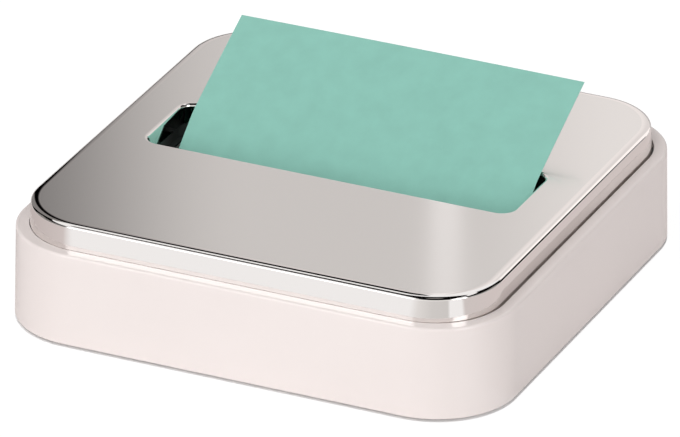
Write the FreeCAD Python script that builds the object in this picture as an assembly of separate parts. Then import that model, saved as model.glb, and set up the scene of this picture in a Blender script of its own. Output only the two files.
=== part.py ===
import FreeCAD
import Part

import math
import os

from FreeCAD import Vector

# Pop-up sticky note holder: a weighted moulded base with a lift-off steel lid.
# A sheet from the pad in the base comes up through a slot in the lid and leans back on its lip.
# Millimetres. +Z is up, +Y points to the back and +X to the right, seen from the front.
# The origin is on the desk, under the middle of the base.

# Notes
note_side = 76.2             # square note, three inches
paper_thickness = 0.1
pad_height = 8.0             # folded notes left in the well
pad_play = 2.0               # gap between the pad and the well wall, all round
note_shift = 0.3             # the popped note stands this far to the right of the pad
climb_angle = 39.0           # the popped note rises this steeply from the pad to the slot
climb_bend = 10.0            # radius where it leaves the pad
lean_angle = 28.0            # it leans back over the lip at this angle to the desk
lean_bend = 16.0             # radius where it meets the lip
lean_lead = 2.6              # it turns to that angle this far before the lip
lip_clearance = 0.25         # between the popped note and the lip

# Base shell
well_wall = 2.0
well_floor = 1.8
well_corner_radius = 3.0
well_mouth_bevel = 0.6
cavity_width = 9.55          # hollow between the well wall and the outer wall
base_wall = 2.2
base_corner_radius = 17.05
base_draft = 0.4             # the rim is this much smaller than the foot, on each side
rim_height = 20.15           # top of the base above the desk
rim_width = 2.9              # from the foot's outside to the lid's recess
rim_bevel = 0.5
recess_depth = 2.4           # the lid stands on a ledge this far below the rim
ledge_thickness = 2.0
boss_radius = 3.2
shell_rib_thickness = 1.4
shell_rib_spacing = 44.0     # between the two ribs of a side

# Underside
foot_proud = 0.6             # the feet hold the base this far off the desk
foot_radius = 7.0
foot_recess_depth = 0.8
foot_recess_gap = 0.2
plate_thickness = 1.8
plate_gap = 0.3              # between the bottom plate and the outer wall
ballast_thickness = 2.0
ballast_corner_radius = 6.0
ballast_gap = 0.3            # between the ballast and the ribs that hold it
ballast_headroom = 0.2       # between the ballast and the well floor
ballast_rib_thickness = 1.2
ballast_rib_height = 1.4
ballast_rib_length = 46.0

# Screws
screw_radius = 1.0
screw_length = 8.0
screw_play = 0.05            # between the screw and its pilot hole
screw_hole_play = 0.5        # between the screw and the hole in the bottom plate
head_radius = 2.4
head_height = 0.9
head_play = 0.35             # between the head and its counterbore
counterbore_depth = 1.0
screw_foot_web = 1.5         # plastic left between a counterbore and a foot's recess

# Steel lid
lid_gap = 0.2                # between the lid's skirt and the rim
lid_rise = 5.35              # top of the lid above the rim
skirt_flare = 0.35           # the skirt is this much wider at its foot, on each side
lid_round = 1.05
steel_thickness = 0.6
slot_end_gap = 2.1           # between the note and each end of the slot
slot_width = 20.0
slot_set_back = 1.0          # the slot lies this far behind the middle
slot_corner_radius = 3.0
slot_lip_depth = 4.1         # the slot's edge is turned down this far
slot_lip_bevel = 0.4
clinch_width = 8.0           # tabs of the lip, folded out under the carrier
clinch_reach = 2.2
clinch_spacing = 48.0
clinch_gap = 0.1

# Lid carrier
carrier_flange = 1.0         # the skirt stands on this flange
carrier_fit = 0.2            # between the flange and the rim
carrier_skin_gap = 0.15      # between the carrier and the steel skirt
carrier_wall = 1.8
carrier_plate = 1.9
chute_wall = 1.3
chute_gap = 0.25             # between the chute and the turned-down lip
chute_ledge_gap = 0.6        # the chute ends this far above the base's ledge
carrier_rib_thickness = 1.2
carrier_rib_depth = 3.0
carrier_rib_spacing = 34.0
tongue_width = 14.0
tongue_thickness = 1.2
tongue_reach = 3.0           # below the ledge
tongue_fit = 0.15            # between a tongue and the well wall
tongue_spacing = 52.0
tongue_bevel = 0.5

# Levels, from the desk up
plate_bottom = foot_proud
plate_top = plate_bottom + plate_thickness
ballast_top = plate_top + ballast_thickness
floor_bottom = ballast_top + ballast_headroom
floor_top = floor_bottom + well_floor
pad_top = floor_top + pad_height
next_note_top = pad_top + paper_thickness
ledge = rim_height - recess_depth
ledge_underside = ledge - ledge_thickness
skirt_bottom = ledge + carrier_flange
lid_top = rim_height + lid_rise
lid_underside = lid_top - steel_thickness
carrier_plate_bottom = lid_underside - carrier_plate

# Half widths and corner radii of the nested rounded squares
pad_half = note_side / 2
well_half = pad_half + pad_play
well_outer_half = well_half + well_wall
base_half = well_outer_half + cavity_width + base_wall
cavity_half = base_half - base_wall
cavity_radius = base_corner_radius - base_wall
recess_half = base_half - rim_width
recess_radius = base_corner_radius - rim_width
skirt_half = recess_half - lid_gap
skirt_radius = recess_radius - lid_gap
lid_top_half = skirt_half - skirt_flare
lid_top_radius = skirt_radius - skirt_flare
lid_inner_bevel = lid_round - steel_thickness

# Slot, seen from above
slot_half_length = pad_half + slot_end_gap
slot_half_width = slot_width / 2

# Screws stand midway between the well's corner and the base's corner, on the diagonals
corner_share = 1 - math.sqrt(0.5)
well_corner_reach = well_outer_half - (well_corner_radius + well_wall) * corner_share
base_corner_reach = cavity_half - cavity_radius * corner_share
screw_offset = (well_corner_reach + base_corner_reach) / 2
counterbore_radius = head_radius + head_play
foot_recess_radius = foot_radius + foot_recess_gap
foot_offset = screw_offset - (counterbore_radius + screw_foot_web + foot_recess_radius) * math.sqrt(0.5)

# Corners of the base, counted from the front left
corners = {
    "front_left": (-1, -1),
    "front_right": (1, -1),
    "rear_right": (1, 1),
    "rear_left": (-1, 1),
}

UP = Vector(0, 0, 1)
SAME_LEVEL = 1e-4            # edges this close to a level lie on it


def rounded_rectangle(half_x, half_y, radius, z, centre_y=0.0):
    """Closed wire of four straight sides and four corner arcs, counter-clockwise from above."""
    edges = []
    inner_x = half_x - radius
    inner_y = half_y - radius
    sides = ((1, 1, 0), (-1, 1, 90), (-1, -1, 180), (1, -1, 270))
    ends = []
    for sign_x, sign_y, start in sides:
        middle = Vector(sign_x * inner_x, centre_y + sign_y * inner_y, z)
        arc = Part.makeCircle(radius, middle, UP, start, start + 90)
        ends.append((arc.Vertexes[0].Point, arc.Vertexes[1].Point))
        edges.append(arc)
    outline = []
    for number, arc in enumerate(edges):
        following = ends[(number + 1) % len(edges)][0]
        outline.append(arc)
        outline.append(Part.makeLine(ends[number][1], following))
    return Part.Wire(outline)


def block(half_x, half_y, radius, low, high, centre_y=0.0):
    """Upright solid on a rounded rectangle."""
    base = Part.Face(rounded_rectangle(half_x, half_y, radius, low, centre_y))
    return base.extrude(Vector(0, 0, high - low))


def square_block(half, radius, low, high):
    """Upright solid on a rounded square about the origin."""
    return block(half, half, radius, low, high)


def tapered_block(low_half, low_radius, low, high_half, high_radius, high):
    """Solid between two rounded squares at different levels."""
    wires = [
        rounded_rectangle(low_half, low_half, low_radius, low),
        rounded_rectangle(high_half, high_half, high_radius, high),
    ]
    return Part.makeLoft(wires, True, True)


def box(x_low, x_high, y_low, y_high, z_low, z_high):
    """Box between two corners."""
    return Part.makeBox(x_high - x_low, y_high - y_low, z_high - z_low, Vector(x_low, y_low, z_low))


def cylinder(radius, x, y, low, high):
    """Upright cylinder."""
    return Part.makeCylinder(radius, high - low, Vector(x, y, low), UP)


def edges_at(shape, z, half_x, half_y, centre_y=0.0):
    """Edges that lie on level z, inside a rectangle."""
    found = []
    for edge in shape.Edges:
        bounds = edge.BoundBox
        level = abs(bounds.ZMin - z) < SAME_LEVEL and abs(bounds.ZMax - z) < SAME_LEVEL
        reach_x = max(abs(bounds.XMin), abs(bounds.XMax))
        reach_y = max(abs(bounds.YMin - centre_y), abs(bounds.YMax - centre_y))
        if level and reach_x < half_x + SAME_LEVEL and reach_y < half_y + SAME_LEVEL:
            found.append(edge)
    return found


def round_level(shape, radius, z, half):
    """The shape with its edges on level z, inside a square, rounded."""
    return shape.makeFillet(radius, edges_at(shape, z, half, half))


def bevel_level(shape, width, z, half):
    """The shape with its edges on level z, inside a square, bevelled."""
    return shape.makeChamfer(width, edges_at(shape, z, half, half))


def quarter_turns(shape):
    """The shape and its copies on the other three sides."""
    copies = []
    for turn in range(4):
        copy = shape.copy()
        copy.rotate(Vector(0, 0, 0), UP, 90 * turn)
        copies.append(copy)
    return copies


def at_corners(offset):
    """The four places at this distance from both middle planes."""
    return [(sign_x * offset, sign_y * offset) for sign_x, sign_y in corners.values()]


# Base


def base_shell():
    """Moulded outer shell with the lid's recess, the pad's well, and bosses and ribs below."""
    shell = tapered_block(
        base_half, base_corner_radius, plate_bottom,
        base_half - base_draft, base_corner_radius - base_draft, rim_height,
    )
    shell = bevel_level(shell, rim_bevel, rim_height, base_half)
    shell = shell.cut(square_block(recess_half, recess_radius, ledge, rim_height))
    shell = shell.cut(square_block(well_half, well_corner_radius, floor_top, rim_height))
    shell = bevel_level(shell, well_mouth_bevel, ledge, well_half)
    cavity = square_block(cavity_half, cavity_radius, plate_bottom, ledge_underside)
    well_block = square_block(well_outer_half, well_corner_radius + well_wall, floor_bottom, ledge)
    shell = shell.cut(cavity.cut(well_block))
    for rib in shell_ribs():
        shell = shell.fuse(rib)
    for x, y in at_corners(screw_offset):
        shell = shell.fuse(cylinder(boss_radius, x, y, plate_top, ledge_underside + ledge_thickness / 2))
    pilot_radius = screw_radius + screw_play
    pilot_top = plate_bottom + counterbore_depth + screw_length + screw_play
    for x, y in at_corners(screw_offset):
        shell = shell.cut(cylinder(pilot_radius, x, y, plate_top, pilot_top))
    return shell.removeSplitter()


def shell_ribs():
    """Two upright ribs on each side, from the well wall to the outer wall."""
    ribs = []
    half = shell_rib_thickness / 2
    for x in (-shell_rib_spacing / 2, shell_rib_spacing / 2):
        y_low = well_half + well_wall / 2
        y_high = cavity_half + base_wall / 2
        rib = box(x - half, x + half, y_low, y_high, floor_bottom, ledge_underside + ledge_thickness / 2)
        ribs.extend(quarter_turns(rib))
    return ribs


def bottom_plate():
    """Plate that closes the underside, with seats for the feet, the screws and the ballast."""
    half = cavity_half - plate_gap
    plate = square_block(half, cavity_radius - plate_gap, plate_bottom, plate_top)
    for x, y in at_corners(foot_offset):
        plate = plate.cut(cylinder(foot_recess_radius, x, y, plate_bottom, plate_bottom + foot_recess_depth))
    for x, y in at_corners(screw_offset):
        plate = plate.cut(cylinder(screw_radius + screw_hole_play, x, y, plate_bottom, plate_top))
        plate = plate.cut(cylinder(counterbore_radius, x, y, plate_bottom, plate_bottom + counterbore_depth))
    rib_low = well_half + ballast_gap
    rib = box(
        -ballast_rib_length / 2, ballast_rib_length / 2, rib_low, rib_low + ballast_rib_thickness,
        plate_top - plate_thickness / 2, plate_top + ballast_rib_height,
    )
    for side in quarter_turns(rib):
        plate = plate.fuse(side)
    return plate.removeSplitter()


def ballast_plate():
    """Steel plate that gives the base its weight, as large as the well."""
    return square_block(well_half, ballast_corner_radius, plate_top, ballast_top)


def screw(x, y):
    """Pan-head screw, driven up into a boss."""
    seat = plate_bottom + counterbore_depth
    head = cylinder(head_radius, x, y, seat - head_height, seat)
    shank = cylinder(screw_radius, x, y, seat, seat + screw_length)
    return head.fuse(shank).removeSplitter()


def bottom_screws():
    """The four screws that hold the bottom plate."""
    return Part.makeCompound([screw(x, y) for x, y in at_corners(screw_offset)])


def foot(x, y):
    """Rubber pad stuck in its recess."""
    return cylinder(foot_radius, x, y, 0, foot_proud + foot_recess_depth)


# Lid


def slot_block(grow, low, high):
    """Solid on the slot's outline, grown by this much all round."""
    return block(
        slot_half_length + grow, slot_half_width + grow, slot_corner_radius + grow,
        low, high, slot_set_back,
    )


def clinch_tabs():
    """Tabs folded out from the turned-down lip, front and rear, as boxes."""
    tabs = []
    high = carrier_plate_bottom - clinch_gap
    low = high - steel_thickness
    root = slot_half_width + steel_thickness / 2
    tip = slot_half_width + steel_thickness + clinch_reach
    for x in (-clinch_spacing / 2, clinch_spacing / 2):
        for side in (-1, 1):
            y_ends = sorted((slot_set_back + side * root, slot_set_back + side * tip))
            tabs.append((x - clinch_width / 2, x + clinch_width / 2, *y_ends, low, high))
    return tabs


def steel_top():
    """Drawn steel cap with a flared skirt, a rounded edge and a slot with a turned-down lip."""
    cap = tapered_block(skirt_half, skirt_radius, skirt_bottom, lid_top_half, lid_top_radius, lid_top)
    cap = round_level(cap, lid_round, lid_top, lid_top_half)
    inside = tapered_block(
        skirt_half - steel_thickness, skirt_radius - steel_thickness, skirt_bottom,
        lid_top_half - steel_thickness, lid_top_radius - steel_thickness, lid_underside,
    )
    inside = bevel_level(inside, lid_inner_bevel, lid_underside, lid_top_half)
    cap = cap.cut(inside)
    lip_bottom = lid_top - slot_lip_depth
    cap = cap.fuse(slot_block(steel_thickness, lip_bottom, lid_top - steel_thickness / 2))
    for tab in clinch_tabs():
        cap = cap.fuse(box(*tab))
    cap = cap.cut(slot_block(0, lip_bottom, lid_top)).removeSplitter()
    lip = edges_at(cap, lid_top, slot_half_length, slot_half_width, slot_set_back)
    return cap.makeChamfer(slot_lip_bevel, lip)


def lid_carrier():
    """Black moulded frame inside the cap: flange, wall, plate, note chute, ribs and tongues."""
    inset = steel_thickness + carrier_skin_gap
    frame = tapered_block(
        skirt_half - inset, skirt_radius - inset, skirt_bottom,
        lid_top_half - inset, lid_top_radius - inset, lid_underside,
    )
    frame = bevel_level(frame, lid_round, lid_underside, lid_top_half)
    flange_half = recess_half - carrier_fit
    frame = frame.fuse(square_block(flange_half, recess_radius - carrier_fit, ledge, skirt_bottom))
    hollow_inset = inset + carrier_wall
    hollow = square_block(
        lid_top_half - hollow_inset, lid_top_radius - hollow_inset, ledge, carrier_plate_bottom,
    )
    frame = frame.cut(hollow)
    chute_grow = steel_thickness + chute_gap
    chute_bottom = ledge + chute_ledge_gap
    plate_middle = carrier_plate_bottom + carrier_plate / 2
    frame = frame.fuse(slot_block(chute_grow + chute_wall, chute_bottom, plate_middle))
    for rib in carrier_ribs(lid_top_half - hollow_inset):
        frame = frame.fuse(rib)
    frame = frame.cut(slot_block(chute_grow, chute_bottom, lid_underside))
    for tongue in tongues():
        frame = frame.fuse(tongue)
    for x_low, x_high, y_low, y_high, z_low, z_high in clinch_tabs():
        window = box(
            x_low - chute_gap, x_high + chute_gap, y_low - chute_gap, y_high + chute_gap,
            z_low - chute_gap, carrier_plate_bottom,
        )
        frame = frame.cut(window)
    return frame.removeSplitter()


def carrier_ribs(wall_half):
    """Stiffening ribs under the plate, from the chute to the front and rear walls."""
    ribs = []
    half = carrier_rib_thickness / 2
    low = carrier_plate_bottom - carrier_rib_depth
    high = carrier_plate_bottom + carrier_plate / 2
    chute_half = slot_half_width + steel_thickness + chute_gap + chute_wall / 2
    reach = wall_half + carrier_wall / 2
    for x in (-carrier_rib_spacing, 0, carrier_rib_spacing):
        ribs.append(box(x - half, x + half, -reach, slot_set_back - chute_half, low, high))
        ribs.append(box(x - half, x + half, slot_set_back + chute_half, reach, low, high))
    return ribs


def tongues():
    """Four tongues, two at the front and two at the rear, that slide into the well's mouth."""
    made = []
    outer = well_half - tongue_fit
    inner = outer - tongue_thickness
    low = ledge - tongue_reach
    high = carrier_plate_bottom + carrier_plate / 2
    profile = [
        Vector(0, inner, high),
        Vector(0, inner, low),
        Vector(0, outer - tongue_bevel, low),
        Vector(0, outer, low + 2 * tongue_bevel),
        Vector(0, outer, high),
    ]
    side_face = Part.Face(Part.makePolygon(profile + profile[:1]))
    for x in (-tongue_spacing / 2, tongue_spacing / 2):
        rear = side_face.extrude(Vector(tongue_width, 0, 0))
        rear.translate(Vector(x - tongue_width / 2, 0, 0))
        front = rear.copy()
        front.rotate(Vector(0, 0, 0), UP, 180)
        made.extend((rear, front))
    return made


# Notes


def sheet(half, low):
    """A flat square sheet of paper."""
    return box(-half, half, -half, half, low, low + paper_thickness)


def note_pad():
    """The folded notes that are left, as one block on the well's floor."""
    return box(-pad_half, pad_half, -pad_half, pad_half, floor_top, pad_top)


def slope(angle):
    """Unit vector in the YZ plane that climbs towards the back at this angle."""
    return Vector(0, math.cos(math.radians(angle)), math.sin(math.radians(angle)))


def upward(angle):
    """Unit vector square to that slope, on its upper side."""
    return slope(angle + 90)


def popped_note_corners():
    """Corners of the popped note's underside, from its stuck front edge to its free top edge."""
    start = Vector(0, -pad_half, next_note_top)
    lip = Vector(0, slot_set_back + slot_half_width, lid_top + lip_clearance)
    knee = lip - slope(lean_angle) * lean_lead
    climb = (knee.z - start.z) / math.sin(math.radians(climb_angle))
    foot_of_climb = knee - slope(climb_angle) * climb
    flat = foot_of_climb.y - start.y
    bends = ((climb_bend, climb_angle), (lean_bend, climb_angle - lean_angle))
    saved = 0.0
    for radius, turn in bends:
        half_turn = math.radians(turn) / 2
        saved += radius * (2 * math.tan(half_turn) - 2 * half_turn)
    free = note_side - flat - climb + saved
    return start, foot_of_climb, knee, knee + slope(lean_angle) * free


def bent_line(points, turns, radii):
    """Edges of a line through the points, with an arc of its radius at each inner point."""
    edges = []
    last = points[0]
    for number, (turn, radius) in enumerate(zip(turns, radii)):
        corner = points[number + 1]
        before = (points[number] - corner).normalize()
        after = (points[number + 2] - corner).normalize()
        tangent = radius * math.tan(math.radians(turn) / 2)
        to_centre = radius / math.cos(math.radians(turn) / 2)
        inward = (before + after).normalize()
        arc_start = corner + before * tangent
        arc_end = corner + after * tangent
        arc_middle = corner + inward * (to_centre - radius)
        edges.append(Part.makeLine(last, arc_start))
        edges.append(Part.Arc(arc_start, arc_middle, arc_end).toShape())
        last = arc_end
    edges.append(Part.makeLine(last, points[-1]))
    return edges


def popped_note():
    """The sheet that stands in the slot: flat on the pad, bent up to the lip, then leaning back."""
    under = popped_note_corners()
    angles = (0, climb_angle, lean_angle)
    turns = (climb_angle, climb_angle - lean_angle)
    over = [under[0] + upward(angles[0]) * paper_thickness]
    for corner, before, after in zip(under[1:-1], angles, angles[1:]):
        miter = paper_thickness / math.cos(math.radians(after - before) / 2)
        over.append(corner + upward((before + after) / 2) * miter)
    over.append(under[-1] + upward(angles[-1]) * paper_thickness)
    under_radii = (climb_bend, lean_bend)
    over_radii = (climb_bend - paper_thickness, lean_bend + paper_thickness)
    lower = bent_line(under, turns, under_radii)
    upper = bent_line(over, turns, over_radii)
    front_edge = Part.makeLine(under[0], over[0])
    top_edge = Part.makeLine(under[-1], over[-1])
    outline = Part.Wire(lower + [top_edge] + upper[::-1] + [front_edge])
    strip = Part.Face(outline).extrude(Vector(note_side, 0, 0))
    strip.translate(Vector(note_shift - pad_half, 0, 0))
    return strip


def nodes():
    """Every piece by its name."""
    made = {
        "base_shell": base_shell(),
        "bottom_plate": bottom_plate(),
        "ballast_plate": ballast_plate(),
        "bottom_screws": bottom_screws(),
        "steel_top": steel_top(),
        "lid_carrier": lid_carrier(),
        "note_pad": note_pad(),
        "next_note": sheet(pad_half, pad_top),
        "popped_note": popped_note(),
    }
    for name, (sign_x, sign_y) in corners.items():
        made["foot_" + name] = foot(sign_x * foot_offset, sign_y * foot_offset)
    return made


def main():
    """Writes one file for each piece."""
    os.makedirs("parts", exist_ok=True)
    for name, shape in nodes().items():
        shape.exportStep(os.path.join("parts", name + ".step"))
        print(name, len(shape.Solids), shape.isValid(), round(shape.Volume, 2))
    top = popped_note_corners()[-1]
    print("base", 2 * base_half, "lid top", lid_top, "note top", round(top.y, 2), round(top.z, 2))


main()
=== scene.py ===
import math

import bpy
import numpy as np
from mathutils import Matrix, Vector


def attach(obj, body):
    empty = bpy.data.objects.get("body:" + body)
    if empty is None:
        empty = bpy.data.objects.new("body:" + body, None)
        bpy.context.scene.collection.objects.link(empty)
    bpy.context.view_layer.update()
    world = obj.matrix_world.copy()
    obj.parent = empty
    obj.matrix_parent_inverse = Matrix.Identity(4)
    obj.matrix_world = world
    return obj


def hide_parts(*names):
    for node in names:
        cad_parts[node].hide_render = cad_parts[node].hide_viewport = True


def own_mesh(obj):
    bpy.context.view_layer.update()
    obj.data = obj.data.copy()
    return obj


# Pop-up sticky note holder: drawn steel lid in a moulded white base, one note leaning out of the slot.
# Sizes are millimetres unless a name says otherwise, and become metres when a mesh is made.
# +Z is up, +Y points to the back and +X to the right, seen from the front.

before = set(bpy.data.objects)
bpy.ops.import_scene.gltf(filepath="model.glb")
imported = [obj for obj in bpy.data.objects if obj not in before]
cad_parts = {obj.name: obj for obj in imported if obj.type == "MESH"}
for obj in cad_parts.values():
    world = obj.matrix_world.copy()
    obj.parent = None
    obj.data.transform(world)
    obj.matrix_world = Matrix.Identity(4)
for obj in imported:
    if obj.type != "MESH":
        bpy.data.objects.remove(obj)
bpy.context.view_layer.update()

MM = 0.001

# Photograph
IMAGE_WIDTH = 680
FOCAL_PIXELS = 9386.2
SENSOR_MM = 36.0
CAMERA_AZIMUTH = 24.455
CAMERA_ELEVATION = 25.968
CAMERA_ROLL = 0.280
CAMERA_RIGHT = -0.788
CAMERA_UP = 10.978
CAMERA_DISTANCE = 1894.4

# Nested rounded squares share the centres of their corner arcs
CORE = 36.8
ARC_STEPS = 24
SIDE_STEPS = 12
SUPPORT = 0.12               # extra row this close to a bend, so that flat faces shade flat

# Base shell
BASE_BOTTOM = 0.6
BASE_RADIUS = 17.05
BASE_DRAFT = 0.4
BASE_FOOT_ROUND = 0.2
BASE_WALL = 2.2
RIM_TOP = 20.15
RIM_OUTER_ROUND = 0.6
RIM_INNER_ROUND = 0.04
RECESS_RADIUS = 14.65
LEDGE = 17.75
LEDGE_UNDERSIDE = 15.75
WELL_CORE = 37.1
WELL_RADIUS = 3.0
WELL_WALL = 2.0
WELL_MOUTH_ROUND = 0.6
WELL_FLOOR_TOP = 6.4
WELL_FLOOR_BOTTOM = 4.6

# Screws under the base
SCREW_OFFSET = 43.968
SCREW_SEAT = 1.6
SCREW_RADIUS = 1.0
SCREW_LENGTH = 8.0
SCREW_TIP_RADIUS = 0.3
SCREW_TIP_LENGTH = 0.6
HEAD_RADIUS = 2.4
HEAD_HEIGHT = 0.9
HEAD_DOME = 0.4               # the head is lower by this share at its rim
CROSS_REACH = 1.3
CROSS_WIDTH = 0.6
CROSS_DEPTH = 0.6
CROSS_SIDE_SLOPE = 0.12       # width over which the recess falls to its depth
CROSS_END_SLOPE = 0.3

# Steel lid
LID_TOP = 25.5
LID_CORE = 36.3               # the corners of the lid and its recess are rounder than the base's
LID_EDGE_WIDTH = 1.8          # the rounded edge is wider than it is high
LID_EDGE_HEIGHT = 0.8
SKIRT_BOTTOM = 18.75
SKIRT_RADIUS = 14.45
SKIRT_FLARE = 0.35
STEEL = 0.6
SLOT_CORE_X = 37.2
SLOT_CORE_Y = 7.0
SLOT_CENTRE_Y = 1.0
SLOT_RADIUS = 3.0
SLOT_LIP_ROUND = 0.7
SLOT_LIP_BOTTOM = 21.4
CHUTE_FOOT = 18.35
BEAD_OUTSET = 1.2             # the bead at the chute's foot reaches this far outside the slot's outline
BEAD_INSET = 0.3
BEAD_BELOW = 0.45
BEAD_ABOVE = 0.05
LID_PLAY = (-0.1, -0.19)      # the lid lies towards the front left of its recess

# Notes
NOTE_SIDE = 76.2
PAPER = 0.1
PAD_TOP = 14.4
NOTE_SHIFT = 0.27            # the popped note stands this far to the right of the pad
CLIMB_ANGLE = 39.0
CLIMB_BEND = 10.0
LEAN_ANGLE = 28.0
LEAN_BEND = 16.0
LEAN_LEAD = 2.6
LIP_CLEARANCE = 0.25
NOTE_SKEW = 0.0073           # the free end drifts to the right by this share of its length
NOTE_BOW = 0.2               # the side edges of the free end sink by this much
BOW_REACH = 3.6              # the sheet is this many times as long as its bowed end
NOTE_STEPS = 120
NOTE_COLUMNS = 41
FINER = 8                    # the note's path is summed in steps this many times finer than the sheet's
SHEET_CREEP = 0.02           # loose sheets of the pad: from one to the next, each by itself, and at most
SHEET_SCATTER = 0.03
SHEET_LIMIT = 0.25
SHEET_INSET = 0.05


def linear(colour):
    """sRGB hex colour as linear red, green, blue and alpha."""
    parts = np.array([int(colour[i:i + 2], 16) for i in (1, 3, 5)]) / 255
    low = parts / 12.92
    high = ((parts + 0.055) / 1.055) ** 2.4
    return (*np.where(parts <= 0.04045, low, high).tolist(), 1.0)


def per_mm(size):
    """Texture scale whose features are about this many millimetres across."""
    return 1 / (size * MM)


def add_node(tree, kind, inputs=None, **settings):
    """Adds a node, sets its attributes, and fills each named input with a value or a link."""
    node = tree.nodes.new(kind)
    for name, value in settings.items():
        setattr(node, name, value)
    for name, value in (inputs or {}).items():
        if isinstance(value, bpy.types.NodeSocket):
            tree.links.new(value, node.inputs[name])
        else:
            node.inputs[name].default_value = value
    return node


def new_material(name):
    """A material with an empty tree and its output node."""
    material = bpy.data.materials.new(name)
    material.use_nodes = True
    tree = material.node_tree
    tree.nodes.clear()
    return material, tree, add_node(tree, "ShaderNodeOutputMaterial")


def place(tree):
    """Object coordinates of the surface."""
    return add_node(tree, "ShaderNodeTexCoord").outputs["Object"]


def moulded_abs(name, colour, roughness, grain):
    """Injection-moulded ABS: even colour, soft gloss, and the fine spark-eroded grain of its mould.

    The real grain is near 0.05 mm, and is drawn coarser so that it shows.
    """
    material, tree, output = new_material(name)
    where = place(tree)
    fine = add_node(tree, "ShaderNodeTexNoise", {"Vector": where, "Scale": per_mm(0.5), "Detail": 3.0})
    broad = add_node(tree, "ShaderNodeTexNoise", {"Vector": where, "Scale": per_mm(30.0), "Detail": 1.0})
    tint = add_node(tree, "ShaderNodeMapRange", {
        "Value": broad.outputs["Fac"], "To Min": 0.985, "To Max": 1.015,
    })
    hue = add_node(tree, "ShaderNodeHueSaturation", {
        "Value": tint.outputs["Result"], "Color": linear(colour),
    })
    rough = add_node(tree, "ShaderNodeMapRange", {
        "Value": fine.outputs["Fac"], "To Min": roughness - 0.04, "To Max": roughness + 0.04,
    })
    bump = add_node(tree, "ShaderNodeBump", {
        "Height": fine.outputs["Fac"], "Strength": grain, "Distance": 0.05 * MM,
    })
    surface = add_node(tree, "ShaderNodeBsdfPrincipled", {
        "Base Color": hue.outputs["Color"], "Roughness": rough.outputs["Result"], "IOR": 1.53,
        "Normal": bump.outputs["Normal"],
    })
    tree.links.new(surface.outputs["BSDF"], output.inputs["Surface"])
    return material


def stainless_steel(name, colour, roughness, spread, stroke):
    """Stainless sheet: reflects its surroundings, blurred along faint strokes left by its finishing.

    The strokes run along X. Real ones are near 0.02 mm apart, and are drawn coarser so that they show.
    """
    material, tree, output = new_material(name)
    stretched = add_node(tree, "ShaderNodeMapping", {"Vector": place(tree), "Scale": (0.02, 1.0, 1.0)})
    strokes = add_node(tree, "ShaderNodeTexNoise", {
        "Vector": stretched.outputs["Vector"], "Scale": per_mm(0.25), "Detail": 4.0,
    })
    rough = add_node(tree, "ShaderNodeMapRange", {
        "Value": strokes.outputs["Fac"], "To Min": roughness - spread, "To Max": roughness + spread,
    })
    bump = add_node(tree, "ShaderNodeBump", {
        "Height": strokes.outputs["Fac"], "Strength": stroke, "Distance": 0.01 * MM,
    })
    surface = add_node(tree, "ShaderNodeBsdfPrincipled", {
        "Base Color": linear(colour), "Metallic": 1.0, "Roughness": rough.outputs["Result"],
        "Normal": bump.outputs["Normal"],
    })
    tree.links.new(surface.outputs["BSDF"], output.inputs["Surface"])
    return material


def note_paper(name, colour):
    """Uncoated dyed paper: matt, with pulp clouds some millimetres wide and fibres that catch the light."""
    material, tree, output = new_material(name)
    where = place(tree)
    clouds = add_node(tree, "ShaderNodeTexNoise", {"Vector": where, "Scale": per_mm(4.0), "Detail": 4.0})
    fibres = add_node(tree, "ShaderNodeTexNoise", {"Vector": where, "Scale": per_mm(0.35), "Detail": 3.0})
    value = add_node(tree, "ShaderNodeMapRange", {
        "Value": clouds.outputs["Fac"], "From Min": 0.3, "From Max": 0.7, "To Min": 0.965, "To Max": 1.035,
    })
    hue = add_node(tree, "ShaderNodeHueSaturation", {
        "Value": value.outputs["Result"], "Color": linear(colour),
    })
    bump = add_node(tree, "ShaderNodeBump", {
        "Height": fibres.outputs["Fac"], "Strength": 0.25, "Distance": 0.05 * MM,
    })
    surface = add_node(tree, "ShaderNodeBsdfPrincipled", {
        "Base Color": hue.outputs["Color"], "Roughness": 0.85, "Specular IOR Level": 0.25,
        "Normal": bump.outputs["Normal"],
    })
    tree.links.new(surface.outputs["BSDF"], output.inputs["Surface"])
    return material


def rubber(name, colour):
    """Moulded rubber: dark, matt, with a fine dusty grain."""
    material, tree, output = new_material(name)
    grain = add_node(tree, "ShaderNodeTexNoise", {"Vector": place(tree), "Scale": per_mm(0.4), "Detail": 3.0})
    rough = add_node(tree, "ShaderNodeMapRange", {
        "Value": grain.outputs["Fac"], "To Min": 0.7, "To Max": 0.9,
    })
    bump = add_node(tree, "ShaderNodeBump", {
        "Height": grain.outputs["Fac"], "Strength": 0.2, "Distance": 0.05 * MM,
    })
    surface = add_node(tree, "ShaderNodeBsdfPrincipled", {
        "Base Color": linear(colour), "Roughness": rough.outputs["Result"], "IOR": 1.52,
        "Normal": bump.outputs["Normal"],
    })
    tree.links.new(surface.outputs["BSDF"], output.inputs["Surface"])
    return material


def plated_steel(name, dark, light, grain):
    """Zinc-plated or rolled steel: grey metal whose crystals or mill marks vary in shade."""
    material, tree, output = new_material(name)
    flakes = add_node(tree, "ShaderNodeTexNoise", {
        "Vector": place(tree), "Scale": per_mm(grain), "Detail": 4.0,
    })
    shade = add_node(tree, "ShaderNodeMix", {"Factor": flakes.outputs["Fac"]}, data_type="RGBA")
    shade.inputs["A"].default_value = linear(dark)
    shade.inputs["B"].default_value = linear(light)
    rough = add_node(tree, "ShaderNodeMapRange", {
        "Value": flakes.outputs["Fac"], "To Min": 0.3, "To Max": 0.5,
    })
    surface = add_node(tree, "ShaderNodeBsdfPrincipled", {
        "Base Color": shade.outputs["Result"], "Metallic": 1.0, "Roughness": rough.outputs["Result"],
    })
    tree.links.new(surface.outputs["BSDF"], output.inputs["Surface"])
    return material


# Surfaces


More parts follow.
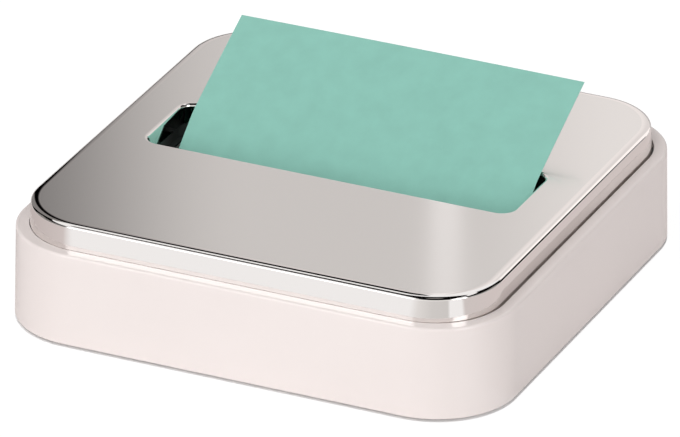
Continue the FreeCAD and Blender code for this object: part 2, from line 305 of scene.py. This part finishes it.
def ring_pattern():
    """Unit pattern of a rounded rectangle: where a point lies on the core, and which way it is offset.

    Each corner is an arc about a core corner. Each side runs straight to the next, with points close
    together near its ends.
    """
    turns = np.linspace(0, math.pi / 2, ARC_STEPS + 1)
    spaced = (1 - np.cos(math.pi * np.arange(1, SIDE_STEPS) / SIDE_STEPS)) / 2
    cores, offsets = [], []
    corners = np.array([(1, 1), (-1, 1), (-1, -1), (1, -1)], float)
    for number, corner in enumerate(corners):
        angles = turns + number * math.pi / 2
        cores.append(np.repeat(corner[None], len(angles), 0))
        offsets.append(np.stack([np.cos(angles), np.sin(angles)], 1))
        following = corners[(number + 1) % 4]
        cores.append(corner + spaced[:, None] * (following - corner))
        offsets.append(np.repeat(offsets[-1][-1:], len(spaced), 0))
    return np.concatenate(cores), np.concatenate(offsets)


RING_CORE, RING_OFFSET = ring_pattern()


def rows(core_x, core_y, centre_y, radius, z):
    """Rows of a carried profile: each is a core rectangle, its centre, the offset from it and a level."""
    return np.stack(np.broadcast_arrays(*np.atleast_1d(core_x, core_y, centre_y, radius, z)), 1).astype(float)


def square_rows(core, radius, z):
    """Rows about the middle, on a square core."""
    return rows(core, core, 0.0, radius, z)


def between(first, last, steps):
    """Rows that blend one row into another, without the two themselves."""
    share = np.linspace(0, 1, steps + 1)[1:-1, None]
    return first[None] * (1 - share) + last[None] * share


def carried(table):
    """Points of every row: core times pattern, plus offset times direction, plus centre, at its level."""
    core = table[:, None, 0:2] * RING_CORE[None]
    offset = table[:, None, 3:4] * RING_OFFSET[None]
    points = np.empty((len(table), len(RING_CORE), 3))
    points[..., :2] = core + offset
    points[..., 1] += table[:, None, 2]
    points[..., 2] = table[:, None, 4]
    return points


def arc(centre_r, centre_z, radius, start, end, steps):
    """Points of a circle's arc in the plane of offset and level, from one angle to another, in degrees."""
    angles = np.radians(np.linspace(start, end, steps + 1))
    return centre_r + radius * np.cos(angles), centre_z + radius * np.sin(angles)


def grid_faces(row_count, ring_count, closed):
    """Quads between neighbouring rows, round the ring, and from the last row to the first if closed."""
    lower = np.arange(row_count if closed else row_count - 1)
    upper = (lower + 1) % row_count
    near = np.arange(ring_count)
    far = (near + 1) % ring_count
    quads = np.stack([
        lower[:, None] * ring_count + near, lower[:, None] * ring_count + far,
        upper[:, None] * ring_count + far, upper[:, None] * ring_count + near,
    ], 2)
    return quads.reshape(-1, 4)


def fan_faces(pole, start, ring_count):
    """Triangles from a pole to the ring of points that starts at this number."""
    near = np.arange(ring_count)
    far = (near + 1) % ring_count
    return np.stack([np.full(ring_count, pole), start + near, start + far], 1)


def new_piece(name, points, faces, materials, indices=None, smooth=True):
    """A mesh object at the origin from points in millimetres."""
    mesh = bpy.data.meshes.new(name)
    mesh.from_pydata((np.asarray(points).reshape(-1, 3) * MM).tolist(), [], [list(f) for f in faces])
    for material in materials:
        mesh.materials.append(material)
    if indices is not None:
        mesh.polygons.foreach_set("material_index", np.asarray(indices, np.int32))
    mesh.polygons.foreach_set("use_smooth", np.full(len(mesh.polygons), smooth))
    mesh.update()
    if smooth:
        mesh.set_sharp_from_angle(angle=math.radians(40))
    piece = bpy.data.objects.new(name, mesh)
    bpy.context.scene.collection.objects.link(piece)
    return piece


def dress(piece, body, slot, *nodes):
    """The piece rides on its body and stands for these nodes, which are hidden. The slot is not used."""
    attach(piece, body)
    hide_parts(*nodes)
    return piece


def skirt_profile(width, height, bottom, top, bottom_r, top_r, steps):
    """Skirt that leans in from its foot, then part of an ellipse, tangent to it and to the flat top."""
    lean = math.atan2(bottom_r - top_r, top - bottom)
    reach = math.hypot(width * math.cos(lean), height * math.sin(lean))
    centre = top_r + height * math.tan(lean) - reach / math.cos(lean)
    start = math.atan2(height * math.sin(lean), width * math.cos(lean))
    turns = np.linspace(start, math.pi / 2, steps + 1)
    arc_r = centre + width * np.cos(turns)
    arc_z = top - height + height * np.sin(turns)
    slope = np.array([bottom_r - arc_r[0], bottom - arc_z[0]])
    near = slope / np.linalg.norm(slope) * SUPPORT
    radius = np.concatenate([[bottom_r, arc_r[0] + near[0]], arc_r, [arc_r[-1] - SUPPORT]])
    level = np.concatenate([[bottom, arc_z[0] + near[1]], arc_z, [top]])
    return radius, level


def steel_lid(satin, polished):
    """Drawn steel cap: one closed surface from the skirt's foot over the top, through the slot and inside.

    The skirt and the rounded edge are a profile carried round a rounded square. The flat top blends that
    square into the slot's outline, which then turns down as a lip.
    """
    skirt_r, skirt_z = skirt_profile(
        LID_EDGE_WIDTH, LID_EDGE_HEIGHT, SKIRT_BOTTOM, LID_TOP, SKIRT_RADIUS, SKIRT_RADIUS - SKIRT_FLARE, 20,
    )
    outside = square_rows(LID_CORE, skirt_r, skirt_z)

    def slot_rows(grow, z):
        return rows(SLOT_CORE_X, SLOT_CORE_Y, SLOT_CENTRE_Y, SLOT_RADIUS + np.asarray(grow), z)

    turn = np.radians(np.linspace(0, 90, 9))
    lip_grow = SLOT_LIP_ROUND * (1 - np.sin(turn))
    lip_z = LID_TOP - SLOT_LIP_ROUND * (1 - np.cos(turn))
    edge = slot_rows(SLOT_LIP_ROUND + SUPPORT, LID_TOP)
    lip = slot_rows(lip_grow, lip_z)
    lip_end = slot_rows([0, 0, STEEL, STEEL], [
        LID_TOP - SLOT_LIP_ROUND - SUPPORT, SLOT_LIP_BOTTOM, SLOT_LIP_BOTTOM, LID_TOP - STEEL,
    ])
    top_r = SKIRT_RADIUS - SKIRT_FLARE - STEEL
    inside = square_rows(
        LID_CORE, [top_r - LID_EDGE_WIDTH + STEEL, top_r, SKIRT_RADIUS - STEEL],
        [LID_TOP - STEEL, LID_TOP - STEEL - LID_EDGE_HEIGHT, SKIRT_BOTTOM],
    )
    top = between(outside[-1], edge[0], 10)
    table = np.concatenate([outside, top, edge, lip, lip_end, inside])
    points = carried(table)
    points[..., :2] += LID_PLAY
    faces = grid_faces(len(table), points.shape[1], True)
    flat_rows = np.arange(len(outside) - 1, len(outside) + len(top))
    row_material = np.ones(len(table), int)
    row_material[flat_rows] = 0
    indices = np.repeat(row_material, points.shape[1])
    return new_piece("drawn_steel_lid", points, faces, [satin, polished], indices)


def chute_bead(plastic):
    """Bead at the foot of the note's chute: a flat square-edged ring, carried round the slot's outline."""
    outer, inner = SLOT_RADIUS + BEAD_OUTSET, SLOT_RADIUS - BEAD_INSET
    low, high = CHUTE_FOOT - BEAD_BELOW, CHUTE_FOOT + BEAD_ABOVE
    table = rows(
        SLOT_CORE_X, SLOT_CORE_Y, SLOT_CENTRE_Y, [outer, outer, inner, inner], [low, high, high, low],
    )
    points = carried(table)
    return new_piece("chute_bead", points, grid_faces(len(table), points.shape[1], True), [plastic])


def base_body(plastic):
    """Moulded base: one closed surface from the middle of the well's floor, over the rim and back below.

    A profile is carried round rounded squares. The well's outline blends into the recess's on the ledge.
    """
    floor = square_rows(WELL_CORE * np.array([0.25, 0.5, 0.75]), WELL_RADIUS, WELL_FLOOR_TOP)
    mouth_r, mouth_z = arc(
        WELL_RADIUS + WELL_MOUTH_ROUND, LEDGE - WELL_MOUTH_ROUND, WELL_MOUTH_ROUND, 180, 90, 5,
    )
    well = square_rows(
        WELL_CORE,
        np.concatenate([[WELL_RADIUS - SUPPORT, WELL_RADIUS, WELL_RADIUS, WELL_RADIUS], mouth_r]),
        np.concatenate([[WELL_FLOOR_TOP, WELL_FLOOR_TOP, WELL_FLOOR_TOP + SUPPORT,
                         LEDGE - WELL_MOUTH_ROUND - SUPPORT], mouth_z]),
    )
    inner_r, inner_z = arc(
        RECESS_RADIUS + RIM_INNER_ROUND, RIM_TOP - RIM_INNER_ROUND, RIM_INNER_ROUND, 180, 90, 4,
    )
    outer_r, outer_z = skirt_profile(
        RIM_OUTER_ROUND, RIM_OUTER_ROUND, BASE_BOTTOM + BASE_FOOT_ROUND, RIM_TOP,
        BASE_RADIUS, BASE_RADIUS - BASE_DRAFT, 8,
    )
    foot_r, foot_z = arc(
        BASE_RADIUS - BASE_FOOT_ROUND, BASE_BOTTOM + BASE_FOOT_ROUND, BASE_FOOT_ROUND, 0, -90, 5,
    )
    inner_wall = BASE_RADIUS - BASE_WALL
    recess = square_rows(
        LID_CORE,
        np.concatenate([
            [RECESS_RADIUS - SUPPORT, RECESS_RADIUS, RECESS_RADIUS, RECESS_RADIUS], inner_r,
            [RECESS_RADIUS + RIM_INNER_ROUND + SUPPORT],
        ]),
        np.concatenate([
            [LEDGE, LEDGE, LEDGE + SUPPORT, RIM_TOP - RIM_INNER_ROUND - SUPPORT], inner_z, [RIM_TOP],
        ]),
    )
    outside = square_rows(
        CORE,
        np.concatenate([outer_r[:0:-1], [BASE_RADIUS], foot_r, [inner_wall, inner_wall]]),
        np.concatenate([
            outer_z[:0:-1], [BASE_BOTTOM + BASE_FOOT_ROUND + SUPPORT], foot_z, [BASE_BOTTOM, LEDGE_UNDERSIDE],
        ]),
    )
    outer_well = WELL_RADIUS + WELL_WALL
    below = square_rows(WELL_CORE, outer_well, [LEDGE_UNDERSIDE, WELL_FLOOR_BOTTOM])
    underside = square_rows(WELL_CORE * np.array([0.75, 0.5, 0.25]), outer_well, WELL_FLOOR_BOTTOM)
    ledge = between(well[-1], recess[0], 4)
    table = np.concatenate([floor, well, ledge, recess, outside, below, underside])
    points = carried(table)
    ring = points.shape[1]
    top_pole = len(table) * ring
    faces = grid_faces(len(table), ring, False)[:, ::-1].tolist()
    faces += fan_faces(top_pole, 0, ring).tolist()
    faces += fan_faces(top_pole + 1, top_pole - ring, ring)[:, ::-1].tolist()
    poles = np.array([[0, 0, WELL_FLOOR_TOP], [0, 0, WELL_FLOOR_BOTTOM]])
    return new_piece("moulded_base", np.concatenate([points.reshape(-1, 3), poles]), faces, [plastic])


def pan_head_screws(metal):
    """Four pan-head screws: a profile turned about each axis, whose domed face sinks into a cross recess.

    The face's level is the seat less a dome, plus the recess's depth where two soft-edged bars cross.
    """
    turns = np.radians(np.arange(0, 360, 5))
    share = np.linspace(0.03, 1, 30)[:, None]
    x, y = (np.abs(HEAD_RADIUS * share * wave) for wave in (np.cos(turns), np.sin(turns)))
    bar = np.clip((CROSS_WIDTH / 2 - np.minimum(x, y)) / CROSS_SIDE_SLOPE + 0.5, 0, 1)
    reach = np.clip((CROSS_REACH - np.maximum(x, y)) / CROSS_END_SLOPE + 0.5, 0, 1)
    face = SCREW_SEAT - HEAD_HEIGHT * (1 - HEAD_DOME * share ** 4) + CROSS_DEPTH * bar * reach
    stem_radius = [HEAD_RADIUS, SCREW_RADIUS, SCREW_RADIUS, SCREW_TIP_RADIUS]
    radius = np.concatenate([HEAD_RADIUS * share[:, 0], stem_radius])
    tip = SCREW_SEAT + SCREW_LENGTH
    stem = np.array([SCREW_SEAT, SCREW_SEAT, tip - SCREW_TIP_LENGTH, tip])
    points = np.empty((len(radius), len(turns), 3))
    points[..., 0] = radius[:, None] * np.cos(turns)
    points[..., 1] = radius[:, None] * np.sin(turns)
    points[..., 2] = np.concatenate([face, np.repeat(stem[:, None], len(turns), 1)])
    poles = np.array([[0, 0, face[0].mean()], [0, 0, tip]])
    one = np.concatenate([points.reshape(-1, 3), poles])
    ring = len(turns)
    pole = len(radius) * ring
    quads = grid_faces(len(radius), ring, False)
    fans = np.concatenate([fan_faces(pole, 0, ring)[:, ::-1], fan_faces(pole + 1, pole - ring, ring)])
    spots = SCREW_OFFSET * np.array([(-1, -1, 0), (1, -1, 0), (1, 1, 0), (-1, 1, 0)])
    shift = len(one) * np.arange(len(spots))[:, None, None]
    faces = (quads + shift).reshape(-1, 4).tolist() + (fans + shift).reshape(-1, 3).tolist()
    return new_piece("pan_head_screws", spots[:, None] + one[None], faces, [metal])


# Notes


def slope(angle):
    """Unit vector in the plane of Y and Z that climbs towards the back at this angle."""
    return np.array([math.cos(math.radians(angle)), math.sin(math.radians(angle))])


def popped_path():
    """Underside of the popped note in the plane of Y and Z, at even steps along it, with its slope there.

    It lies flat on the pad, turns up by an arc, climbs, turns back by an arc at the lip and leans.
    """
    start = np.array([-NOTE_SIDE / 2, PAD_TOP + PAPER])
    lip = np.array([SLOT_CENTRE_Y + SLOT_CORE_Y + SLOT_RADIUS, LID_TOP + LIP_CLEARANCE])
    knee = lip - slope(LEAN_ANGLE) * LEAN_LEAD
    climb = (knee[1] - start[1]) / math.sin(math.radians(CLIMB_ANGLE))
    flat = knee[0] - slope(CLIMB_ANGLE)[0] * climb - start[0]
    turn = CLIMB_ANGLE - LEAN_ANGLE
    first_tangent = CLIMB_BEND * math.tan(math.radians(CLIMB_ANGLE) / 2)
    second_tangent = LEAN_BEND * math.tan(math.radians(turn) / 2)
    first_arc = CLIMB_BEND * math.radians(CLIMB_ANGLE)
    second_arc = LEAN_BEND * math.radians(turn)
    bend_start = flat - first_tangent
    bend_end = bend_start + first_arc
    lean_start = bend_end + climb - first_tangent - second_tangent
    lean_end = lean_start + second_arc
    along = np.linspace(0, NOTE_SIDE, NOTE_STEPS * FINER + 1)
    angle = np.interp(
        along, [bend_start, bend_end, lean_start, lean_end], [0, CLIMB_ANGLE, CLIMB_ANGLE, LEAN_ANGLE],
    )
    middle = np.radians((angle[1:] + angle[:-1]) / 2)
    step = np.diff(along)
    y = start[0] + np.concatenate([[0], np.cumsum(step * np.cos(middle))])
    z = start[1] + np.concatenate([[0], np.cumsum(step * np.sin(middle))])
    return np.stack([y, z], 1)[::FINER], angle[::FINER]


def paper_sheet(name, path, angle, drift, paper, bow=0.0):
    """A sheet of paper: a grid across X and along a path, with its upper side one thickness above its lower.

    Each row drifts sideways by its own amount. Towards the last row the side edges sink below the middle.
    """
    across = np.linspace(-NOTE_SIDE / 2, NOTE_SIDE / 2, NOTE_COLUMNS)
    normal = np.stack([-np.sin(np.radians(angle)), np.cos(np.radians(angle))], 1)
    free = np.clip(np.linspace(1 - BOW_REACH, 1, len(path)), 0, 1)[:, None] ** 2
    rise = -bow * free * (across / across[-1]) ** 2
    sides = []
    for height in (0.0, PAPER):
        points = np.empty((len(path), len(across), 3))
        points[..., 0] = across + drift[:, None]
        points[..., 1:] = path[:, None] + normal[:, None] * (height + rise[..., None])
        sides.append(points.reshape(-1, 3))
    row, column = len(path), len(across)
    number = np.arange(row * column).reshape(row, column)
    low = np.stack([number[:-1, :-1], number[1:, :-1], number[1:, 1:], number[:-1, 1:]], 2).reshape(-1, 4)
    high = low[:, ::-1] + row * column
    border = np.concatenate([number[0, :-1], number[:-1, -1], number[-1, :0:-1], number[:0:-1, 0]])
    following = np.roll(border, -1)
    edge = np.stack([border, following, following + row * column, border + row * column], 1)
    faces = np.concatenate([low, high, edge])
    return new_piece(name, np.concatenate(sides), faces, [paper])


def note_stack(paper):
    """The pad: sheets one paper thickness high, each a little out of line with the others."""
    low = WELL_FLOOR_TOP
    count = round((PAD_TOP - low) / PAPER)
    random = np.random.default_rng(7)
    drift = np.cumsum(random.normal(0, SHEET_CREEP, (count, 2)), 0)
    drift += random.normal(0, SHEET_SCATTER, (count, 2)) - drift.mean(0)
    drift = np.clip(drift, -SHEET_LIMIT, SHEET_LIMIT)
    half = NOTE_SIDE / 2 - SHEET_INSET
    corner = np.array([[x, y, z] for z in (0, 1) for x, y in ((-1, -1), (1, -1), (1, 1), (-1, 1))], float)
    sheets = np.repeat((corner * [half, half, PAPER])[None], count, 0)
    sheets[:, :, :2] += drift[:, None]
    sheets[:, :, 2] += low + PAPER * np.arange(count)[:, None]
    sides = np.array([[0, 3, 2, 1], [4, 5, 6, 7], [0, 1, 5, 4], [1, 2, 6, 5], [2, 3, 7, 6], [3, 0, 4, 7]])
    faces = (sides[None] + 8 * np.arange(count)[:, None, None]).reshape(-1, 4)
    return new_piece("note_stack", sheets, faces, [paper], smooth=False)


# Studio


def aim():
    """Directions of the photograph: right, up, and back towards the camera."""
    azimuth, elevation, roll = (math.radians(a) for a in (CAMERA_AZIMUTH, CAMERA_ELEVATION, CAMERA_ROLL))
    back = Vector((
        math.sin(azimuth) * math.cos(elevation),
        -math.cos(azimuth) * math.cos(elevation),
        math.sin(elevation),
    ))
    level = Vector((math.cos(azimuth), math.sin(azimuth), 0))
    upright = back.cross(level)
    right = level * math.cos(roll) + upright * math.sin(roll)
    up = upright * math.cos(roll) - level * math.sin(roll)
    return right, up, back


def add_camera():
    """Camera at the photograph's viewing angle, with its long lens."""
    right, up, back = aim()
    data = bpy.data.cameras.new("photograph")
    data.sensor_width = SENSOR_MM
    data.lens = SENSOR_MM * FOCAL_PIXELS / IMAGE_WIDTH
    camera = bpy.data.objects.new("photograph", data)
    spot = (right * CAMERA_RIGHT + up * CAMERA_UP + back * CAMERA_DISTANCE) * MM
    turned = Matrix((right, up, back)).transposed().to_4x4()
    camera.matrix_world = Matrix.Translation(spot) @ turned
    bpy.context.scene.collection.objects.link(camera)
    bpy.context.scene.camera = camera


def seen_directly(tree):
    """1 for rays from the camera, and for what metal and clear things show."""
    path = add_node(tree, "ShaderNodeLightPath")
    total = path.outputs["Is Camera Ray"]
    for name in ("Is Glossy Ray", "Is Transmission Ray"):
        larger = add_node(tree, "ShaderNodeMath", {0: total, 1: path.outputs[name]}, operation="MAXIMUM")
        total = larger.outputs[0]
    return total


def add_world(ambient, overhead):
    """White surroundings for the eye, and soft light that fades from the horizon to overhead."""
    world = bpy.data.worlds.new("white_studio")
    world.use_nodes = True
    bpy.context.scene.world = world
    tree = world.node_tree
    tree.nodes.clear()
    way = add_node(tree, "ShaderNodeTexCoord")
    height = add_node(tree, "ShaderNodeSeparateXYZ", {0: way.outputs["Generated"]})
    fading = add_node(tree, "ShaderNodeMapRange", {
        "Value": height.outputs["Z"], "To Min": ambient, "To Max": overhead,
    })
    strength = add_node(tree, "ShaderNodeMapRange", {
        "Value": seen_directly(tree), "To Min": fading.outputs["Result"], "To Max": 1.0,
    })
    sky = add_node(tree, "ShaderNodeBackground", {
        "Color": (1, 1, 1, 1), "Strength": strength.outputs["Result"],
    })
    output = add_node(tree, "ShaderNodeOutputWorld")
    tree.links.new(sky.outputs["Background"], output.inputs["Surface"])


def table_material(name, glow):
    """Matt white table that also glows by this share where it is seen, so that it looks white."""
    material, tree, output = new_material(name)
    matt = add_node(tree, "ShaderNodeBsdfDiffuse", {"Color": (0.9, 0.9, 0.9, 1)})
    light = add_node(tree, "ShaderNodeEmission", {"Color": (1, 1, 1, 1), "Strength": 1.1})
    share = add_node(tree, "ShaderNodeMath", {0: seen_directly(tree), 1: glow}, operation="MULTIPLY")
    mixed = add_node(tree, "ShaderNodeMixShader", {"Fac": share.outputs[0]})
    tree.links.new(matt.outputs["BSDF"], mixed.inputs[1])
    tree.links.new(light.outputs["Emission"], mixed.inputs[2])
    tree.links.new(mixed.outputs["Shader"], output.inputs["Surface"])
    return material


def add_floor(glow, glow_below):
    """Wide pale table that keeps a soft shadow. Under the base it glows far less, painted shade that deepens
    the real shadow in the gap.
    """
    points = carried(square_rows(CORE, [BASE_RADIUS, 6000], 0.0))
    ring = points.shape[1]
    faces = grid_faces(2, ring, False)[:, ::-1].tolist() + [list(range(ring))]
    indices = [0] * ring + [1]
    # The face under the base glows less than the rest: painted shade, so the shadow in the gap under the base
    # shows darker.
    materials = [table_material("white_table", glow), table_material("table_painted_shade_under_base", glow_below)]
    new_piece("white_table", points, faces, materials, indices)


def card_material(name, colour, strength):
    """A card of even shade."""
    material, tree, output = new_material(name)
    light = add_node(tree, "ShaderNodeEmission", {"Color": linear(colour), "Strength": strength})
    tree.links.new(light.outputs["Emission"], output.inputs["Surface"])
    return material


def ring_card(name, start, end, first, last, material):
    """Card bent round the object between two azimuths, in degrees, and two circles (radius, level)."""
    angles = np.radians(np.linspace(start, end, 25))
    around = np.stack([np.sin(angles), -np.cos(angles)], 1)
    points = np.concatenate([
        np.column_stack([radius * around, np.full(len(around), level)]) for radius, level in (first, last)
    ])
    return reflected_only(new_piece(name, points, strip_faces(len(around)), [material]))


def table_card(name, level, first, last, shades):
    """Flat ring on the table between two radii. Its shade passes through stops by azimuth, in degrees."""
    material, tree, output = new_material(name)
    shade = add_node(tree, "ShaderNodeAttribute", attribute_name="shade")
    light = add_node(tree, "ShaderNodeEmission", {"Color": shade.outputs["Color"]})
    tree.links.new(light.outputs["Emission"], output.inputs["Surface"])
    degrees = np.linspace(0, 360, 361)
    angles = np.radians(degrees)
    around = np.stack([np.sin(angles), -np.cos(angles), np.zeros(len(angles))], 1)
    points = np.concatenate([around * radius + [0, 0, level] for radius in (first, last)])
    card = new_piece(name, points, strip_faces(len(angles)), [material])
    stops = np.array([stop for stop, _ in shades])
    colours = np.array([linear(colour) for _, colour in shades])
    painted = np.stack([np.interp(degrees, stops, colours[:, channel]) for channel in range(4)], 1)
    attribute = card.data.color_attributes.new("shade", "FLOAT_COLOR", "POINT")
    attribute.data.foreach_set("color", np.tile(painted, (2, 1)).ravel())
    return reflected_only(card)


def strip_faces(count):
    """Quads between two lines of points."""
    near = np.arange(count - 1)
    return np.stack([near, near + 1, near + 1 + count, near + count], 1)


def reflected_only(card):
    """The card shows in polished metal, but neither lights the object nor stands in the picture."""
    card.visible_camera = False
    card.visible_diffuse = False
    card.visible_shadow = False
    card.visible_transmission = False
    card.visible_volume_scatter = False
    return card


def add_lamp(name, spot, target, size, watts):
    """Square soft box at a spot, in millimetres, facing a target."""
    data = bpy.data.lights.new(name, "AREA")
    data.shape = "SQUARE"
    data.size = size * MM
    data.energy = watts
    lamp = bpy.data.objects.new(name, data)
    lamp.location = Vector(spot) * MM
    lamp.rotation_mode = "QUATERNION"
    lamp.rotation_quaternion = (Vector(target) - Vector(spot)).to_track_quat("-Z", "Y")
    lamp.visible_glossy = False
    bpy.context.scene.collection.objects.link(lamp)


def upright_card(name, distance, left, right, low, high, colour, steps):
    """Upright card behind the object, square to the view, whose shade is a sum of smooth steps along it."""
    view_right = Vector((math.cos(math.radians(CAMERA_AZIMUTH)), math.sin(math.radians(CAMERA_AZIMUTH)), 0))
    away = Vector((-view_right.y, view_right.x, 0))
    material, tree, output = new_material(name)
    along = add_node(tree, "ShaderNodeVectorMath", {0: place(tree), 1: view_right}, operation="DOT_PRODUCT")
    shade = 0.0
    for begin, finish, gain in steps:
        step = add_node(tree, "ShaderNodeMapRange", {
            "Value": along.outputs["Value"], "From Min": begin * MM, "From Max": finish * MM, "To Max": gain,
        }, interpolation_type="SMOOTHSTEP")
        shade = add_node(tree, "ShaderNodeMath", {0: shade, 1: step.outputs["Result"]}).outputs[0]
    glow = add_node(tree, "ShaderNodeEmission", {"Color": linear(colour), "Strength": shade})
    tree.links.new(glow.outputs["Emission"], output.inputs["Surface"])
    points = []
    for side, level in ((left, low), (right, low), (right, high), (left, high)):
        spot = view_right * side + away * distance
        points.append((spot.x, spot.y, level))
    return reflected_only(new_piece(name, points, [(0, 1, 2, 3)], [material]))


white_abs = moulded_abs("white_moulded_abs", "#EFE5E2", 0.16, 0.05)
# The carrier is black plastic drawn dark grey with a slight green cast: the lighter grey and the green are
# painted bounce light inside the lid, the green from the note.
carrier_abs_painted_bounce = moulded_abs("dark_moulded_abs_painted_green_bounce", "#434846", 0.45, 0.08)
satin_steel = stainless_steel("satin_stainless_steel", "#E6E4E2", 0.14, 0.02, 0.02)
# Polished steel for the rounded edges and skirt: its smoother finish is real, but its colour is lighter than
# the satin top's, painted brightness for its reflections.
polished_steel = stainless_steel("polished_stainless_steel_painted_bright", "#EEEAE8", 0.06, 0.01, 0.0)
paper = note_paper("dyed_note_paper", "#91C9BB")
foot_rubber = rubber("black_foot_rubber", "#1B1B1C")
zinc = plated_steel("zinc_plated_steel", "#8E8F92", "#C3C4C6", 0.8)
mill_steel = plated_steel("rolled_mild_steel", "#5C5D60", "#8A8B8D", 3.0)

dress(steel_lid(satin_steel, polished_steel), "lid", "polished_steel", "steel_top")
dress(base_body(white_abs), "base", "white_abs", "base_shell")
dress(pan_head_screws(zinc), "base", "zinc_steel", "bottom_screws")
bead = chute_bead(carrier_abs_painted_bounce)
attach(bead, "lid")

path, angle = popped_path()
past_lip = np.clip(path[:, 1] - LID_TOP, 0, None) / math.sin(math.radians(LEAN_ANGLE))
leaning_note = paper_sheet("leaning_note", path, angle, NOTE_SHIFT + NOTE_SKEW * past_lip, paper, NOTE_BOW)
dress(leaning_note, "note", "note_paper", "popped_note")
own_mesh(leaning_note)

flat_path = np.stack([np.linspace(-NOTE_SIDE / 2, NOTE_SIDE / 2, 3), np.full(3, PAD_TOP)], 1)
waiting_note = paper_sheet("waiting_note", flat_path, np.zeros(3), np.zeros(3), paper)
dress(waiting_note, "base", "note_paper", "next_note")
dress(note_stack(paper), "base", "note_paper", "note_pad")

finishes = {
    "lid_carrier": carrier_abs_painted_bounce,
    "bottom_plate": white_abs,
    "ballast_plate": mill_steel,
    "foot_front_left": foot_rubber,
    "foot_front_right": foot_rubber,
    "foot_rear_left": foot_rubber,
    "foot_rear_right": foot_rubber,
}
for node, finish in finishes.items():
    for material_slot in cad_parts[node].material_slots:
        material_slot.material = finish

# Picture: camera, light, and the cards that the steel reflects

add_camera()
add_world(0.95, 0.1)
add_floor(0.85, 0.05)
black_card = card_material("black_card", "#080808", 1.0)
bright_card = card_material("bright_card", "#FFFFFF", 4.4)
half_bright_card = card_material("half_bright_card", "#FFFFFF", 2.5)
dim_card = card_material("dim_card", "#F3F1EF", 1.0)
grey_card = card_material("grey_card", "#898784", 1.0)
pale_grey_card = card_material("pale_grey_card", "#B4B1AE", 1.0)
mid_grey_card = card_material("mid_grey_card", "#9F9C9A", 1.0)
ring_card("low_surround", 74, 327, (1005, 30), (1005, 360), black_card)
ring_card("left_surround", 245, 318, (1010, 30), (1010, 1180), black_card)
ring_card("front_left_surround", 318, 327, (1010, 30), (1010, 650), black_card)
ring_card("right_flag", 74, 165, (1010, 30), (1010, 1600), black_card)
ring_card("dim_camera_card", -8, 52, (1000, 30), (1000, 800), dim_card)
ring_card("upper_camera_flag", -4, 54, (1000, 800), (1000, 1400), black_card)
ring_card("high_camera_flag", -20, 76, (1000, 1400), (1000, 2360), black_card)
ring_card("overhead_flag", 0, 360, (3700, 8000), (0, 8000), black_card)
ring_card("rear_flag", 205, 225, (1000, 730), (1000, 1480), black_card)
ring_card("rear_left_card", 225, 245, (1000, 360), (1000, 1300), grey_card)
ring_card("front_glow", 327, 352, (1010, 510), (1010, 800), bright_card)
ring_card("low_front_glow", 327, 352, (1010, 250), (1010, 510), half_bright_card)
ring_card("right_glow", 52, 74, (1010, 250), (1010, 800), bright_card)
ring_card("right_pale_card", 74, 140, (1000, 80), (1000, 200), pale_grey_card)
for side, start, end in (("left", 262, 327), ("right", 74, 140)):
    ring_card(f"{side}_mid_card", start, end, (1000, 200), (1000, 390), mid_grey_card)
    ring_card(f"{side}_dark_card", start, end, (1000, 390), (1000, 720), grey_card)
ring_card("zenith_card", 0, 360, (900, 7900), (0, 7900), grey_card)
table_card("table_shades", 0.2, 30, 300, (
    (0, "#FFFFFF"), (11, "#FFFFFF"), (18, "#ECEAE8"), (30, "#DCDAD8"), (43, "#D9D7D5"), (45, "#FFFFFF"),
    (55, "#FFFFFF"), (58, "#DAD3D1"), (90, "#DCD2D0"), (155, "#DAD0CE"), (240, "#C4BAB8"), (280, "#C8BEBC"),
    (322, "#DAD1CF"), (329, "#FFFFFF"), (360, "#FFFFFF"),
))
upright_card("lid_gradient", 110, -170, 195, 35, 160, "#FFFAF8", (
    (-240, -239, 0.25), (-106, -98, -0.25), (-78, -66, 0.25), (-74, -20, 0.475), (20, 62, 0.225),
    (66, 90, -0.12), (112, 122, 0.35),
))
upright_card("lid_streak", 108, 18.5, 25.2, 35, 160, "#FFFBFA", ((10, 11, 0.98),))
add_lamp("key_soft_box", (385, -1058, 650), (0, 0, 15), 700, 5.6)
add_lamp("high_soft_box", (-353, -421, 1178), (0, 0, 15), 700, 5.3)

bpy.context.scene.view_settings.view_transform = "Standard"
